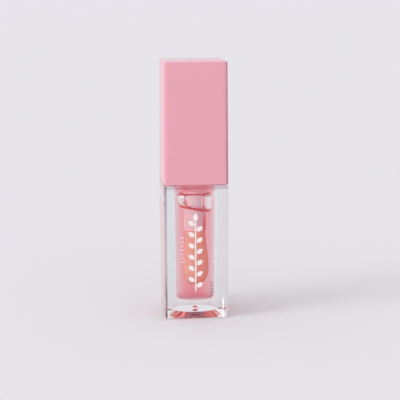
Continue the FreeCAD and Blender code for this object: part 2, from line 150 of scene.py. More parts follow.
def line_pts(kind, a, b, steps=1, rc=None):
    """Stations on a straight stretch; the normal is to the right of its way."""
    (ka, kb) = kind if isinstance(kind, tuple) else (kind, kind)
    dr, dz = b[0] - a[0], b[1] - a[1]
    n = math.hypot(dr, dz)
    nr, nz = dz / n, -dr / n
    ra, rb = rc if isinstance(rc, tuple) else (rc, rc)
    out = []
    for i in range(steps + 1):
        f = i / steps
        out.append((ka if i < steps or steps == 0 else kb, a[0] + dr * f, a[1] + dz * f, nr, nz,
                    None if ra is None and rb is None else (ra or 0) + ((rb or 0) - (ra or 0)) * f))
    if steps == 1:
        out[0] = (ka,) + out[0][1:]
        out[1] = (kb,) + out[1][1:]
    return out


def build(name, ring, segments, closed=False, pole_start=False, pole_end=False, extra=None):
    """A mesh swept through stations. Each segment is (stations, material index) and
    keeps its own normals, so neighbouring segments meet in a crisp or a tangent line."""
    pos, bands = [], []          # bands: (i, j, normals i, normals j, material)
    for seg_no, (seg, mat) in enumerate(segments):
        made = []
        for st in seg:
            kind, size, z, nr, nz, rc = st[:6]
            fn = st[6] if len(st) > 6 else None
            p, m = station(ring, kind, size, z, rc or 0.0, fn)
            if fn is None:
                nor = np.column_stack([m * nr, np.full(ring.n, nz)])
            else:
                e = 1e-3
                r0 = fn(ring.phi, z)
                drdz = (fn(ring.phi, z + e) - fn(ring.phi, z - e)) / (2 * e)
                drdp = (fn(ring.phi + e, z) - fn(ring.phi - e, z)) / (2 * e)
                rad = np.column_stack([np.cos(ring.phi), np.sin(ring.phi)])
                tan = np.column_stack([-np.sin(ring.phi), np.cos(ring.phi)])
                side = 1.0 if nr >= 0 else -1.0
                nor = np.column_stack([rad - tan * (drdp / r0)[:, None], -drdz]) * side
            nor /= np.maximum(np.linalg.norm(nor, axis=1), 1e-9)[:, None]
            made.append((p, nor))
        start = len(pos)
        for i, (p, nor) in enumerate(made):
            if i == 0 and pos and np.abs(pos[-1] - p).max() < 2e-3:
                start -= 1
                continue
            pos.append(p)
        for i in range(len(made) - 1):
            bands.append((start + i, start + i + 1, made[i][1], made[i + 1][1], mat))
    rings = len(pos)
    if closed and np.abs(pos[-1] - pos[0]).max() < 2e-3:
        last = rings - 1
        pos.pop()
        rings -= 1
        bands = [(a % last if a == last else a, 0 if b == last else b, x, y, m) for a, b, x, y, m in bands]
    n = ring.n
    verts = [tuple(v) for p in pos for v in p]
    faces, mats, normals = [], [], []
    for a, b, na, nb, mat in bands:
        for k in range(n):
            l = (k + 1) % n
            faces.append((a * n + k, a * n + l, b * n + l, b * n + k))
            normals += [na[k], na[l], nb[l], nb[k]]
            mats.append(mat)
    if pole_start:
        c = len(verts)
        verts.append((0.0, 0.0, float(pos[0][0, 2])))
        for k in range(n):
            l = (k + 1) % n
            faces.append((c, l, k))
            nz = bands[0][2][k]
            up = (0, 0, 1.0 if pole_start == "up" else -1.0)
            normals += [up, up, up]
            mats.append(bands[0][4])
    if pole_end:
        c = len(verts)
        verts.append((0.0, 0.0, float(pos[-1][0, 2])))
        base = (rings - 1) * n
        for k in range(n):
            l = (k + 1) % n
            faces.append((c, base + k, base + l))
            up = (0, 0, 1.0 if pole_end == "up" else -1.0)
            normals += [up, up, up]
            mats.append(bands[-1][4])
    if extra:
        for ev, ef, em in extra:
            off = len(verts)
            verts += [tuple(v) for v in ev]
            for f in ef:
                faces.append(tuple(off + i for i in f))
                pts = [Vector(ev[i]) for i in f]
                nn = (pts[1] - pts[0]).cross(pts[2] - pts[1]).normalized()
                normals += [tuple(nn)] * len(f)
                mats.append(em)
    me = bpy.data.meshes.new(name)
    me.from_pydata([(x * MM, y * MM, z * MM) for x, y, z in verts], [], faces)
    me.polygons.foreach_set("use_smooth", [True] * len(faces))
    me.polygons.foreach_set("material_index", mats)
    me.update()
    me.normals_split_custom_set([tuple(float(c) for c in v) for v in normals])
    me.update()
    ob = bpy.data.objects.new(name, me)
    bpy.context.scene.collection.objects.link(ob)
    return ob


def smooth_object(name, verts, faces, mats=None, smooth=True):
    me = bpy.data.meshes.new(name)
    me.from_pydata([(x * MM, y * MM, z * MM) for x, y, z in verts], [], faces)
    me.polygons.foreach_set("use_smooth", [smooth] * len(faces))
    if mats is not None:
        me.polygons.foreach_set("material_index", mats)
    me.update()
    ob = bpy.data.objects.new(name, me)
    bpy.context.scene.collection.objects.link(ob)
    return ob


def box_part(cx, cy, ang, x0, x1, hw, z0, z1, mat=0):
    """A plain rib as extra faces, turned about the axis."""
    c, s = math.cos(ang), math.sin(ang)
    v = []
    for z in (z0, z1):
        for x, y in ((x0, -hw), (x1, -hw), (x1, hw), (x0, hw)):
            v.append((c * x - s * y + cx, s * x + c * y + cy, z))
    f = [(0, 3, 2, 1), (4, 5, 6, 7), (0, 1, 5, 4), (1, 2, 6, 5), (2, 3, 7, 6), (3, 0, 4, 7)]
    return v, f, mat


# ---------------------------------------------------------------- node helper
def new_material(name):
    mat = bpy.data.materials.new(name)
    mat.use_nodes = True
    nt = mat.node_tree
    bsdf = nt.nodes["Principled BSDF"]
    return mat, nt, bsdf


def lin(r, g, b):
    """sRGB 0-255 to linear."""
    out = []
    for c in (r, g, b):
        c = c / 255.0
        out.append(c / 12.92 if c <= 0.04045 else ((c + 0.055) / 1.055) ** 2.4)
    return (*out, 1.0)


def coords(nt, scale=(1, 1, 1)):
    tc = nt.nodes.new("ShaderNodeTexCoord")
    mp = nt.nodes.new("ShaderNodeMapping")
    mp.inputs["Scale"].default_value = scale
    nt.links.new(tc.outputs["Object"], mp.inputs["Vector"])
    return mp.outputs["Vector"]


def noise(nt, vec, scale, detail=3.0, rough=0.55):
    n = nt.nodes.new("ShaderNodeTexNoise")
    n.inputs["Scale"].default_value = scale
    n.inputs["Detail"].default_value = detail
    n.inputs["Roughness"].default_value = rough
    nt.links.new(vec, n.inputs["Vector"])
    return n.outputs["Fac"]


def ramp(nt, fac, stops):
    r = nt.nodes.new("ShaderNodeValToRGB")
    el = r.color_ramp.elements
    while len(el) < len(stops):
        el.new(0.5)
    for e, (p, c) in zip(el, stops):
        e.position = p
        e.color = c
    nt.links.new(fac, r.inputs["Fac"])
    return r.outputs["Color"]


def span(nt, fac, lo, hi, frm=(0.3, 0.7)):
    m = nt.nodes.new("ShaderNodeMapRange")
    m.inputs["From Min"].default_value, m.inputs["From Max"].default_value = frm
    m.inputs["To Min"].default_value, m.inputs["To Max"].default_value = lo, hi
    nt.links.new(fac, m.inputs["Value"])
    return m.outputs["Result"]


def bump(nt, height, strength, distance):
    b = nt.nodes.new("ShaderNodeBump")
    b.inputs["Strength"].default_value = strength
    b.inputs["Distance"].default_value = distance
    nt.links.new(height, b.inputs["Height"])
    return b.outputs["Normal"]


def xyz(nt, vec):
    s = nt.nodes.new("ShaderNodeSeparateXYZ")
    nt.links.new(vec, s.inputs["Vector"])
    return s.outputs["X"], s.outputs["Y"], s.outputs["Z"]


def calc(nt, op, a, b=None):
    m = nt.nodes.new("ShaderNodeMath")
    m.operation = op
    for i, v in enumerate((a, b)):
        if v is None:
            continue
        if isinstance(v, (int, float)):
            m.inputs[i].default_value = v
        else:
            nt.links.new(v, m.inputs[i])
    return m.outputs[0]


def ease(nt, fac, lo, hi):
    """0 below lo, 1 above hi (mm), smooth between."""
    m = nt.nodes.new("ShaderNodeMapRange")
    m.interpolation_type = "SMOOTHSTEP"
    m.inputs["From Min"].default_value, m.inputs["From Max"].default_value = lo * MM, hi * MM
    nt.links.new(fac, m.inputs["Value"])
    return m.outputs["Result"]


def blend_rgb(nt, fac, a, b, mode="MIX"):
    """Mix two colours; each may be a tuple or a socket."""
    m = nt.nodes.new("ShaderNodeMix")
    m.data_type = "RGBA"
    m.blend_type = mode
    if isinstance(fac, (int, float)):
        m.inputs[0].default_value = fac
    else:
        nt.links.new(fac, m.inputs[0])
    for i, v in ((6, a), (7, b)):
        if isinstance(v, tuple):
            m.inputs[i].default_value = v
        else:
            nt.links.new(v, m.inputs[i])
    return m.outputs[2]


def tint(c, k):
    return (min(c[0] * k, 1), min(c[1] * k, 1), min(c[2] * k, 1), 1)


# ------------------------------------------------------------------ materials
# pink ABS cap: satin gloss, very fine moulded grain, faint colour drift
m_cap, nt, b = new_material("pink_cap_abs")
v = coords(nt)
PINK = lin(236, 167, 182)
n1 = noise(nt, v, 60.0, 2.0)
cx, cy, cz = xyz(nt, v)
cap_col = ramp(nt, n1, [(0.35, tint(PINK, 0.985)), (0.65, tint(PINK, 1.012))])
# painted shade: the cap's front-right vertical edge is darkened to a deeper pink, standing in for shade on the side
# turned from the light
corner = calc(nt, "MULTIPLY", ease(nt, cx, 8.9, 9.3), ease(nt, cy, -8.8, -9.2))
cap_col = blend_rgb(nt, calc(nt, "MULTIPLY", corner, 0.75), cap_col, lin(190, 112, 132))
nt.links.new(cap_col, b.inputs["Base Color"])
n2 = noise(nt, v, 5200.0, 3.0)
nt.links.new(span(nt, n2, 0.14, 0.20), b.inputs["Roughness"])
nt.links.new(bump(nt, n2, 0.12, 0.00002), b.inputs["Normal"])
b.inputs["IOR"].default_value = 1.52
b.inputs["Subsurface Weight"].default_value = 0.0

# clear PETG: the tint grows with the thickness looked through; the dark edge lines, darker left face and shoulder band
# are painted shade
m_clear, nt, b = new_material("clear_petg")
b.inputs["Transmission Weight"].default_value = 1.0
b.inputs["Roughness"].default_value = 0.0
b.inputs["IOR"].default_value = 1.57
v = coords(nt)
vx, vy, vz = xyz(nt, v)
ax, ay = calc(nt, "ABSOLUTE", vx), calc(nt, "ABSOLUTE", vy)
near = calc(nt, "MINIMUM", ax, ay)
thick = calc(nt, "MULTIPLY", ease(nt, near, 5.9, 6.7), ease(nt, vz, 3.0, 6.0))
col = blend_rgb(nt, thick, (0.985, 0.985, 0.985, 1), (0.885, 0.905, 0.91, 1))
# painted shade: dark lines down the front vertical edges, strongest on the left and darkest low down, standing in for
# dark surroundings refracted by the edge rounds
front = ease(nt, vy, 2.0, -2.0)
side = span(nt, vx, 1.0, 0.22, (-0.002, 0.002))
painted_edge_shade = calc(nt, "MULTIPLY", calc(nt, "MULTIPLY", ease(nt, near, 8.92, 9.2), front), side)
painted_edge_shade_col = ramp(nt, calc(nt, "DIVIDE", vz, 0.05), [
    (0.0, (0.16, 0.10, 0.13, 1)), (0.15, (0.13, 0.08, 0.11, 1)), (0.25, (0.34, 0.34, 0.38, 1)),
    (0.42, (0.48, 0.50, 0.55, 1)), (0.62, (0.36, 0.38, 0.43, 1)), (0.78, (0.24, 0.26, 0.30, 1))])
# painted shade: the left face darkens towards its front edge
left = calc(nt, "MULTIPLY", ease(nt, vx, -9.25, -9.45), ease(nt, vy, 2.0, -9.0))
col = blend_rgb(nt, calc(nt, "MULTIPLY", left, 0.8), col, (0.42, 0.43, 0.48, 1))
col = blend_rgb(nt, painted_edge_shade, col, painted_edge_shade_col)
# painted shade and painted reflection: a dark line at the shoulder round and a faint pink tint above it, standing in
# for the cap's dark pink inside seen through the round
painted_shoulder_band = ramp(nt, calc(nt, "DIVIDE", vz, 0.05), [
    (0.0, (1, 1, 1, 1)), (0.796, (1, 1, 1, 1)), (0.806, (0.86, 0.76, 0.80, 1)), (0.813, (0.50, 0.36, 0.42, 1)),
    (0.8175, (0.55, 0.40, 0.46, 1)), (0.822, (1.0, 0.90, 0.93, 1))])
col = blend_rgb(nt, 1.0, col, painted_shoulder_band, "MULTIPLY")
nt.links.new(col, b.inputs["Base Color"])
n1 = noise(nt, v, 130.0, 2.0)
nt.links.new(bump(nt, n1, 0.05, 0.00003), b.inputs["Normal"])

# the chamber wall where oil wets it: only the step from PETG to oil bends light
m_wet, nt, b = new_material("clear_petg_wet")
vx, vy, vz = xyz(nt, coords(nt))
# painted shade: the wall turns a darker pink above z 38.5, standing in for the shade of the cap; the chamber floor is
# also tinted pink
nt.links.new(ramp(nt, calc(nt, "DIVIDE", vz, 0.05), [
    (0.0, (0.93, 0.60, 0.68, 1)), (0.106, (0.93, 0.60, 0.68, 1)), (0.15, (1, 1, 1, 1)),
    (0.77, (1, 1, 1, 1)), (0.78, (0.97, 0.80, 0.84, 1)), (0.85, (0.95, 0.74, 0.78, 1))]), b.inputs["Base Color"])
b.inputs["Transmission Weight"].default_value = 1.0
b.inputs["Roughness"].default_value = 0.0
b.inputs["IOR"].default_value = 1.57 / 1.47

# lip oil: colour by depth
m_oil, nt, b = new_material("pink_lip_oil")
b.inputs["Base Color"].default_value = (1, 1, 1, 1)
b.inputs["Transmission Weight"].default_value = 1.0
b.inputs["Roughness"].default_value = 0.0
b.inputs["IOR"].default_value = 1.47
film = nt.nodes.new("ShaderNodeAttribute")
film.attribute_name = "free_surface"
nt.links.new(span(nt, film.outputs["Fac"], 1.0, 1.47, (0.0, 1.0)), b.inputs["IOR"])
rim = nt.nodes.new("ShaderNodeAttribute")
rim.attribute_name = "meniscus"
skin = blend_rgb(nt, film.outputs["Fac"], (1, 1, 1, 1), (1.0, 0.80, 0.82, 1))
nt.links.new(blend_rgb(nt, rim.outputs["Fac"], skin, (0.86, 0.10, 0.14, 1)), b.inputs["Base Color"])
vol = nt.nodes.new("ShaderNodeVolumeAbsorption")
vol.inputs["Color"].default_value = (0.99, 0.12, 0.19, 1)
vol.inputs["Density"].default_value = 96.0
nt.links.new(vol.outputs["Volume"], nt.nodes["Material Output"].inputs["Volume"])

# translucent white rod; its glow, darker right side and crimson streak are painted light and shade
m_rod, nt, b = new_material("rod_pp")
v = coords(nt)
n1 = noise(nt, v, 300.0, 3.0)
rod_col = ramp(nt, n1, [(0.3, lin(228, 217, 219)), (0.7, lin(232, 224, 225))])
rx, ry, rz = xyz(nt, v)
# painted shade: the rod darkens to a greyer pink towards its right side
rod_col = blend_rgb(nt, ease(nt, rx, -2.6, 3.0), rod_col, lin(206, 168, 178))
# painted shade: a deep crimson streak down the rod's right front, standing in for the rod's shaded right side seen
# through the oil
painted_streak_wobble = calc(nt, "MULTIPLY", noise(nt, v, 420.0, 2.0), 0.0016)
run = calc(nt, "MULTIPLY", ease(nt, calc(nt, "ADD", rx, painted_streak_wobble), 3.0, 3.9),
           ease(nt, calc(nt, "ADD", rz, calc(nt, "MULTIPLY", painted_streak_wobble, 2.0)), 35.4, 31.5))
run = calc(nt, "MULTIPLY", run, ease(nt, ry, 0.5, -0.5))
rod_col = blend_rgb(nt, run, rod_col, lin(196, 66, 88))
nt.links.new(rod_col, b.inputs["Base Color"])
nt.links.new(span(nt, noise(nt, v, 2500.0), 0.22, 0.34), b.inputs["Roughness"])
b.inputs["Subsurface Weight"].default_value = 0.35
b.inputs["Subsurface Radius"].default_value = (1.0, 0.7, 0.7)
b.inputs["Subsurface Scale"].default_value = 0.0015
# painted light: the rod glows, dimmer to the right and crimson along the painted streak, though it is no lamp
painted_glow_col = blend_rgb(nt, ease(nt, rx, -2.6, 3.0), (1.0, 0.86, 0.90, 1), (0.72, 0.56, 0.62, 1))
nt.links.new(blend_rgb(nt, run, painted_glow_col, (0.75, 0.14, 0.22, 1)), b.inputs["Emission Color"])
b.inputs["Emission Strength"].default_value = 0.36

# flocked coral applicator
m_flock, nt, b = new_material("flock_coral")
v = coords(nt)
n1 = noise(nt, v, 900.0, 4.0, 0.7)
n2 = noise(nt, v, 5200.0, 2.0, 0.7)
fx, fy, fz = xyz(nt, v)
# painted light and shade: a paler peach on the left and a deeper, darker coral on the right
flock_lit_side = ramp(nt, n1, [(0.3, lin(240, 196, 164)), (0.55, lin(246, 212, 184)), (0.75, lin(250, 226, 204))])
flock_shaded_side = ramp(nt, n1, [(0.3, lin(232, 150, 118)), (0.55, lin(238, 168, 136)), (0.75, lin(244, 186, 158))])
nt.links.new(blend_rgb(nt, ease(nt, fx, -3.0, 3.4), flock_lit_side, flock_shaded_side), b.inputs["Base Color"])
b.inputs["Roughness"].default_value = 0.85
b.inputs["Sheen Weight"].default_value = 0.6
b.inputs["Sheen Roughness"].default_value = 0.5
b.inputs["Sheen Tint"].default_value = (1, 0.75, 0.65, 1)
# painted light: the flock glows, paler and stronger on the left, though it is no lamp
nt.links.new(blend_rgb(nt, ease(nt, fx, -3.0, 3.4), (1.0, 0.60, 0.54, 1), (0.80, 0.36, 0.32, 1)), b.inputs["Emission Color"])
b.inputs["Emission Strength"].default_value = 0.28
mixh = nt.nodes.new("ShaderNodeMath"); mixh.operation = "ADD"
nt.links.new(n1, mixh.inputs[0]); nt.links.new(n2, mixh.inputs[1])
nt.links.new(bump(nt, mixh.outputs[0], 0.6, 0.00012), b.inputs["Normal"])

# core
m_core, nt, b = new_material("core_tpe")
v = coords(nt)
nt.links.new(ramp(nt, noise(nt, v, 500.0), [(0.3, lin(226, 130, 105)), (0.7, lin(236, 146, 120))]), b.inputs["Base Color"])
b.inputs["Roughness"].default_value = 0.6

# wiper: milky LDPE
m_wiper, nt, b = new_material("wiper_ldpe")
v = coords(nt)
nt.links.new(ramp(nt, noise(nt, v, 400.0), [(0.3, lin(246, 192, 198)), (0.7, lin(250, 204, 210))]), b.inputs["Base Color"])
nt.links.new(span(nt, noise(nt, v, 1800.0), 0.32, 0.45), b.inputs["Roughness"])
b.inputs["Subsurface Weight"].default_value = 0.4
b.inputs["Subsurface Radius"].default_value = (1.0, 0.8, 0.8)
b.inputs["Subsurface Scale"].default_value = 0.001
# painted light: the wiper glows pink, though it is no lamp
b.inputs["Emission Color"].default_value = (1.0, 0.55, 0.60, 1)
b.inputs["Emission Strength"].default_value = 0.27

# collar: matt pink PP
m_collar, nt, b = new_material("collar_pp")
v = coords(nt)
n2 = noise(nt, v, 3000.0, 3.0)
nt.links.new(ramp(nt, noise(nt, v, 150.0), [(0.3, lin(226, 160, 176)), (0.7, lin(232, 168, 184))]), b.inputs["Base Color"])
nt.links.new(span(nt, n2, 0.42, 0.55), b.inputs["Roughness"])
nt.links.new(bump(nt, n2, 0.2, 0.00003), b.inputs["Normal"])

# washer: closed-cell foam
m_foam, nt, b = new_material("washer_foam")
v = coords(nt)
cell = nt.nodes.new("ShaderNodeTexVoronoi")
cell.inputs["Scale"].default_value = 3200.0
nt.links.new(v, cell.inputs["Vector"])
nt.links.new(ramp(nt, cell.outputs["Distance"], [(0.0, lin(228, 228, 226)), (0.6, lin(246, 246, 244))]), b.inputs["Base Color"])
nt.links.new(bump(nt, cell.outputs["Distance"], 0.7, 0.0001), b.inputs["Normal"])
b.inputs["Roughness"].default_value = 0.8


def ink(name, rgb, low, high):
    """Screen ink: faint mottle and a slightly uneven sheen."""
    mat, nt, b = new_material(name)
    v = coords(nt)
    c = lin(*rgb)
    nt.links.new(ramp(nt, noise(nt, v, 2600.0, 3.0), [(0.3, tint(c, 0.94)), (0.7, tint(c, 1.02))]), b.inputs["Base Color"])
    nt.links.new(span(nt, noise(nt, v, 4000.0), low, high), b.inputs["Roughness"])
    return mat


m_white = ink("white_ink", (252, 246, 244), 0.35, 0.5)
m_pale = ink("pale_ink", (248, 214, 226), 0.35, 0.5)
m_dark = ink("dark_ink", (128, 58, 80), 0.4, 0.55)


def paint(node, mat):
    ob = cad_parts[node]
    if not ob.material_slots:
        ob.data.materials.append(mat)
    for s in ob.material_slots:
        s.material = mat


def dress(ob, mats, body, nodes):
    for m in mats:
        ob.data.materials.append(m)
    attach(ob, body)
    if nodes:
        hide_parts(*nodes)
    return ob


SQ = Ring()

# --------------------------------------------------------------------- bottle
def ridge(phi, z, start, sign_height, root=0.8, crest=0.4):
    """Height of a helical ridge at an angle and a height, with tapered ends."""
    phi = np.mod(phi, 2 * math.pi)
    best = np.zeros_like(phi)
    for turn in range(3):
        a = phi + 2 * math.pi * turn
        inside = (a >= 0) & (a <= 2 * math.pi * TURNS)
        centre = start + PITCH * a / (2 * math.pi)
        h = np.clip((root - np.abs(z - centre)) / (root - crest), 0, 1)
        h = h * h * (3 - 2 * h)
        end = np.clip(np.minimum(a, 2 * math.pi * TURNS - a) / math.radians(14), 0, 1)
        best = np.maximum(best, np.where(inside, h * end, 0))
    return best * sign_height


def neck_wall(phi, z):
    return NECK_R + ridge(phi, z, THREAD_Z, 0.45)


gate_R = (GATE_R ** 2 + GATE_H ** 2) / (2 * GATE_H)
gate_zc = RECESS_D + GATE_H - gate_R


def gate(r):
    """A point of the gate's dimple, with its normal into the air."""
    z = gate_zc + math.sqrt(gate_R ** 2 - r * r)
    return ("ci", r, z, -r / gate_R, -(z - gate_zc) / gate_R, None)


segs = [
    # gate dimple
    ([gate(r) for r in GATE_R * np.sin(np.linspace(0.08, math.pi / 2, 12))], 0),
    # flat ceiling and sloping wall of the recess
    (line_pts("ci", (GATE_R, RECESS_D), (RECESS_TOP_R, RECESS_D), 3), 0),
    (line_pts("ci", (RECESS_TOP_R, RECESS_D), (RECESS_R, 0.0), 3), 0),
    # flat rim out to the square edge
    (line_pts(("ci", "sq"), (RECESS_R, 0.0), (BASE_HALF - BASE_EDGE, 0.0), 1, rc=(0.0, EDGE - BASE_EDGE)), 0),
    (arc_pts("sq", BASE_HALF - BASE_EDGE, BASE_EDGE, BASE_EDGE, -90, 0, 8, rc=EDGE - BASE_EDGE), 0),
    # drafted sides
    (line_pts("sq", (BASE_HALF, BASE_EDGE), (SHOULDER_HALF, BODY_TOP - SHOULDER_EDGE), 6, rc=EDGE), 0),
    (arc_pts("sq", SHOULDER_HALF - SHOULDER_EDGE, BODY_TOP - SHOULDER_EDGE, SHOULDER_EDGE, 0, 90, 7,
             rc=EDGE - SHOULDER_EDGE), 0),
    # shoulder, foot of the neck
    (line_pts(("sq", "ci"), (SHOULDER_HALF - SHOULDER_EDGE, BODY_TOP), (NECK_R + 0.5, BODY_TOP), 1,
              rc=(EDGE - SHOULDER_EDGE, 0.0)), 0),
    (arc_pts("ci", NECK_R + 0.5, BODY_TOP + 0.5, 0.5, 270, 180, 6, outward=False), 0),
    # threaded wall
    ([("fn", 0, z, 1.0, 0.0, None, neck_wall) for z in np.linspace(BODY_TOP + 0.5, NECK_TOP - 0.3, 76)], 0),
    (arc_pts("ci", NECK_R - 0.3, NECK_TOP - 0.3, 0.3, 0, 90, 5), 0),
    (line_pts("ci", (NECK_R - 0.3, NECK_TOP), (BORE_R + 0.15, NECK_TOP)), 0),
    (arc_pts("ci", BORE_R + 0.15, NECK_TOP - 0.15, 0.15, 90, 180, 4), 0),
    # bore behind the wiper, then the wetted bore, cone, chamber and floor
    (line_pts("ci", (BORE_R, NECK_TOP - 0.15), (BORE_R, 44.5), 2), 0),
    (line_pts("ci", (BORE_R, 44.5), (BORE_R, BORE_LOW), 2), 1),
    (line_pts("ci", (BORE_R, BORE_LOW), (CHAMBER_R1, CHAMBER_TOP), 3), 1),
    (line_pts("ci", (CHAMBER_R1, CHAMBER_TOP), (CHAMBER_R0, FLOOR + FLOOR_R), 12), 1),
    (arc_pts("ci", CHAMBER_R0 - FLOOR_R, FLOOR + FLOOR_R, FLOOR_R, 0, -90, 8, outward=False), 1),
    (line_pts("ci", (CHAMBER_R0 - FLOOR_R, FLOOR), (0.2, FLOOR), 3), 1),
]
bottle = build("bottle_clear", SQ, segs, pole_start="down", pole_end="up")
dress(bottle, [m_clear, m_wet], "bottle", ["bottle"])

# ------------------------------------------------------------------ lip oil
GAP = 0.006
bub_top, bub_mid, bub_r, bub_slope = 38.45, 33.35, 5.95, math.tan(math.radians(10.0))
oil_segs = [
    (line_pts("ci", (0.2, FLOOR + GAP), (CHAMBER_R0 - FLOOR_R, FLOOR + GAP), 2), 0),
    (arc_pts("ci", CHAMBER_R0 - FLOOR_R, FLOOR + FLOOR_R, FLOOR_R - GAP, -90, 0, 8), 0),
    (line_pts("ci", (CHAMBER_R0 - GAP, FLOOR + FLOOR_R), (CHAMBER_R1 - GAP, CHAMBER_TOP), 16), 0),
    (line_pts("ci", (CHAMBER_R1 - GAP, CHAMBER_TOP), (BORE_R - GAP, BORE_LOW), 3), 0),
    (line_pts("ci", (BORE_R - GAP, BORE_LOW), (BORE_R - GAP, 44.3), 3), 0),
    (line_pts("ci", (BORE_R - GAP, 44.3), (6.0, 44.3), 1), 0),
    (line_pts("ci", (6.0, 44.3), (4.0, LIP + 1.2), 3), 0),
    (line_pts("ci", (4.0, LIP + 1.2), (3.62, LIP - 0.03), 1), 0),
    (line_pts("ci", (3.62, LIP - 0.03), (0.2, LIP - 0.03), 2), 0),
]
oil = build("lip_oil", Even(128), oil_segs, pole_start="down", pole_end="up")


def bubble_mesh(n=112, m=44):
    """The air bubble round the rod: normals point into the air."""
    verts, faces = [], []
    for k in range(n):
        a = 2 * math.pi * k / n
        ca, sa = math.cos(a), math.sin(a)
        out = bub_r + 0.05 * math.cos(2 * a + 0.7)
        loop = []
        top = bub_top
        rt, rb = 1.35, 1.5
        zb_out = bub_mid - bub_slope * out * ca
        # top, inner to outer
        for f in np.linspace(0, 1, 8, endpoint=False):
            r = 3.0 + (out - rt - 3.0) * f
            loop.append((r, top + 0.06 * f * (1 - f)))
        for f in np.linspace(0, 1, 10, endpoint=False):
            t = math.pi / 2 * (1 - f)
            loop.append((out - rt + rt * math.cos(t), top - rt + rt * math.sin(t)))
        zm = zb_out + rb
        for f in np.linspace(0, 1, 5, endpoint=False):
            z0 = top - rt
            loop.append((out, z0 + (zm - z0) * f))
        for f in np.linspace(0, 1, 11, endpoint=False):
            t = -math.pi / 2 * f
            r = out - rb + rb * math.cos(t)
            zc = bub_mid - bub_slope * r * ca
            loop.append((r, zc + rb + rb * math.sin(t)))
        for f in np.linspace(0, 1, m - 34):
            r = (out - rb) + (3.0 - (out - rb)) * f
            zc = bub_mid - bub_slope * r * ca
            climb = 0.9 * math.exp(-max(r - ROD_R, 0) / 0.33)
            loop.append((r, zc + climb))
        for r, z in loop:
            verts.append((r * ca, r * sa, z))
    m = len(verts) // n
    # how much of a thick coloured meniscus each station carries
    wet = []
    for i in range(m):
        low = max(0.0, 1 - abs(i - 29) / 3.6)
        foot = 0.85 if i >= m - 4 and i < m - 1 else 0.0
        high = 0.6 * max(0.0, 1 - abs(i - 9.5) / 2.6)
        wet.append(min(1.0, 1.25 * max(low, foot, high)))
    wet = wet * n
    for k in range(n):
        l = (k + 1) % n
        for i in range(m):
            j = (i + 1) % m
            faces.append((k * m + i, k * m + j, l * m + j, l * m + i))
    return verts, faces, wet


bv, bf, bwet = bubble_mesh()
bubble = smooth_object("bubble_tmp", bv, bf)
# merge the bubble into the oil mesh, and mark the free surface
me = oil.data
old_v = len(me.vertices)
cos = [tuple(v.co) for v in me.vertices] + [tuple(v.co) for v in bubble.data.vertices]
fcs = [tuple(p.vertices) for p in me.polygons]
flags = [0.0] * old_v + [1.0] * len(bubble.data.vertices)


def signed_volume(vs, fs):
    total = 0.0
    for f in fs:
        a = np.array(vs[f[0]])
        for i in range(1, len(f) - 1):
            total += np.dot(a, np.cross(np.array(vs[f[i]]), np.array(vs[f[i + 1]]))) / 6
    return total


flip = signed_volume(bv, bf) > 0  # a hole's faces must look into the hole
for p in bubble.data.polygons:
    idx = [old_v + i for i in p.vertices]
    fcs.append(tuple(reversed(idx)) if flip else tuple(idx))
new = bpy.data.meshes.new("lip_oil_mesh")
new.from_pydata(cos, [], fcs)
new.polygons.foreach_set("use_smooth", [True] * len(fcs))
att = new.attributes.new("free_surface", "FLOAT", "POINT")
att.data.foreach_set("value", flags)
att = new.attributes.new("meniscus", "FLOAT", "POINT")
att.data.foreach_set("value", [0.0] * old_v + [float(x) for x in bwet])
new.update()
oil.data = new
bpy.data.objects.remove(bubble)
# keep the crisp rims of the oil's own outline
new.set_sharp_from_angle(angle=math.radians(35))
dress(oil, [m_oil], "bottle", ["gloss_fill"])
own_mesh(oil)

m_rim, nt, b = new_material("oil_meniscus")
v = coords(nt)
nt.links.new(ramp(nt, noise(nt, v, 700.0), [(0.3, lin(206, 34, 48)), (0.7, lin(224, 58, 66))]), b.inputs["Base Color"])
b.inputs["Roughness"].default_value = 0.25
# painted light: the meniscus bead glows faintly red, though it is no lamp
b.inputs["Emission Color"].default_value = (1.0, 0.06, 0.09, 1)
b.inputs["Emission Strength"].default_value = 0.16


def rim_line(name, path, thick):
    """A slim tapered bead along a run of points."""
    verts, faces, n = [], [], 10
    count = len(path)
    for i, p in enumerate(path):
        a, c = Vector(path[max(i - 1, 0)]), Vector(path[min(i + 1, count - 1)])
        d = (c - a).normalized()
        u = d.cross(Vector((0, 0, 1))).normalized()
        w = u.cross(d)
        f = i / (count - 1)
        r = thick(f) * min(1.0, 6 * f + 0.05, 6 * (1 - f) + 0.05)
        for k in range(n):
            t = 2 * math.pi * k / n
            verts.append(tuple(Vector(p) + u * (r * math.cos(t)) + w * (r * math.sin(t))))
    for i in range(count - 1):
        for k in range(n):
            l = (k + 1) % n
            faces.append((i * n + k, i * n + l, (i + 1) * n + l, (i + 1) * n + k))
    faces.append(tuple(reversed(range(n))))
    faces.append(tuple((count - 1) * n + k for k in range(n)))
    ob = smooth_object(name, verts, faces)
    dress(ob, [m_rim], "bottle", [])
    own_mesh(ob)
    return ob


low_path, top_path = [], []
for f in np.linspace(0, 1, 61):
    a = math.radians(188 + 164 * f)
    r = bub_r - 1.5 + 1.53 * math.cos(math.radians(-62))
    zc = bub_mid - bub_slope * r * math.cos(a)
    low_path.append((r * math.cos(a), r * math.sin(a), zc + 1.5 - 1.53 * math.sin(math.radians(62))))
    r = bub_r - 1.35 + 1.40 * math.cos(math.radians(58))
    top_path.append((r * math.cos(a), r * math.sin(a), bub_top - 1.35 + 1.40 * math.sin(math.radians(58))))
rim_line("meniscus_low", low_path, lambda f: 0.15 + 0.07 * math.sin(7.5 * f) ** 2 + 0.04 * f)
rim_line("meniscus_top", top_path, lambda f: 0.10 + 0.03 * math.sin(5 * f) ** 2)


